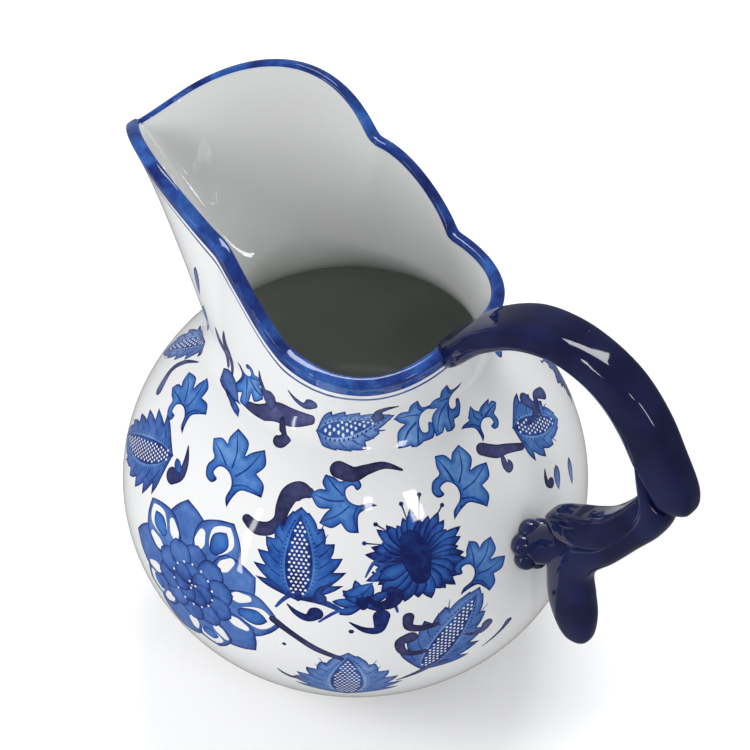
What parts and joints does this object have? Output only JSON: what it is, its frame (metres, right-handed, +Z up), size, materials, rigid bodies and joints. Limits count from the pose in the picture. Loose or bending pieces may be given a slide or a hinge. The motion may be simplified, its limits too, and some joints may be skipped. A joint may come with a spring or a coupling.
{
  "type": "porcelain cream jug",
  "caption": "Globe-bodied porcelain jug with a foot ring, a high scalloped pouring spout and a scrolled strap handle, painted with blue flowers.",
  "frame": {"origin": "on the table, at the middle of the foot ring's bottom", "axes": "+Z up along the body's axis; the handle is at +X and the pouring lip at -X, and XZ is the jug's plane of symmetry"},
  "size_m": [0.2246, 0.15, 0.1798],
  "materials": {
    "white_porcelain": "glossy clear glaze over hand-painted cobalt flowers",
    "blue_band": "glossy cobalt wash",
    "cobalt_handle": "glossy deep cobalt glaze",
    "foot": "white glaze with a bare unglazed base edge"
  },
  "bodies": {
    "root": {"foot_ring": "foot", "body_globe": "white_porcelain", "neck_spout": "white_porcelain", "rim_edge": "blue_band", "handle_arm": "cobalt_handle", "handle_stem": "cobalt_handle", "handle_curl_leaf": "cobalt_handle", "handle_tail_leaf": "cobalt_handle", "handle_sprig": "cobalt_handle"}
  },
  "joints": []
}
